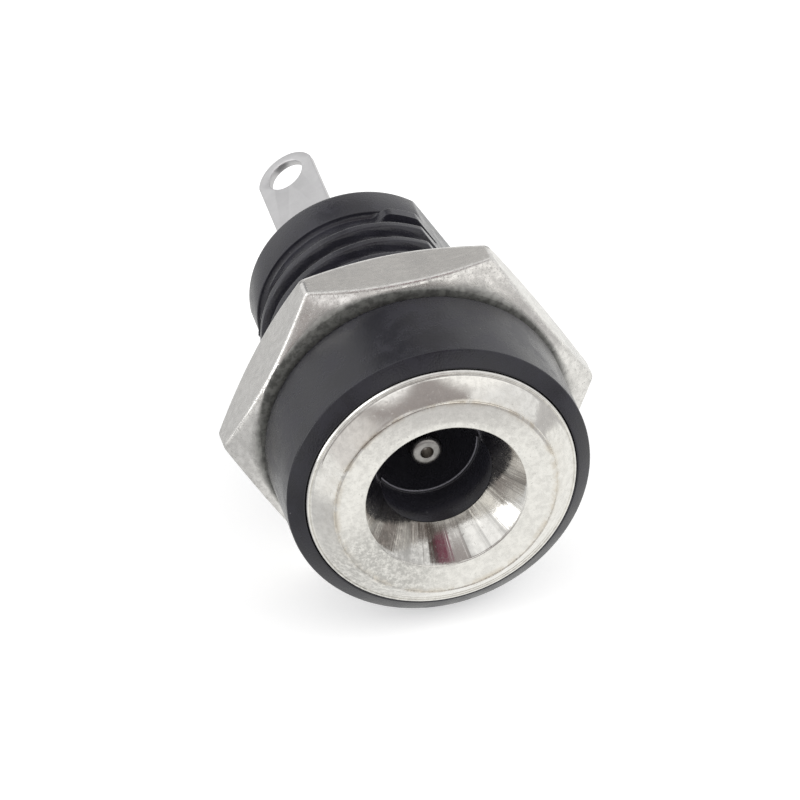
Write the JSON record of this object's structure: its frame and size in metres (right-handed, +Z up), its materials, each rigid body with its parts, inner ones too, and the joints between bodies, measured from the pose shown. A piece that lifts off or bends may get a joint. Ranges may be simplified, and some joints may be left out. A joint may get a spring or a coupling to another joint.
{
  "type": "dc barrel jack",
  "caption": "Panel-mount barrel power socket: black threaded body with a flange, plated face ring, hex nut, centre pin and solder lugs.",
  "frame": {"origin": "on the plug axis, in the plane of the flange's rear face, which seats on the panel", "axes": "+Y along the plug axis, from the mouth to the solder lugs; +Z up, square to the flat of the nut that the jack lies on; +X to the right when looking into the rear"},
  "size_m": [0.0138, 0.0191, 0.012],
  "materials": {
    "black_moulding": "satin black moulded thermoplastic",
    "ring_plating": "nickel-plated brass, lightly brushed",
    "nut_plating": "nickel-plated brass, pitted at its chamfers",
    "pin_plating": "bright nickel-plated brass",
    "lug_plating": "dull tin-plated brass strip"
  },
  "bodies": {
    "jack": {"housing": "black_moulding", "face_ring": "ring_plating", "centre_pin": "pin_plating", "pin_lug": "lug_plating", "sleeve_contact": "lug_plating"},
    "nut": {"hex_nut": "nut_plating"}
  },
  "joints": [
    {"name": "nut_travel", "type": "slide", "parent": "jack", "child": "nut", "axis": [0, 1, 0], "range_m": [0, 0.0072]}
  ]
}
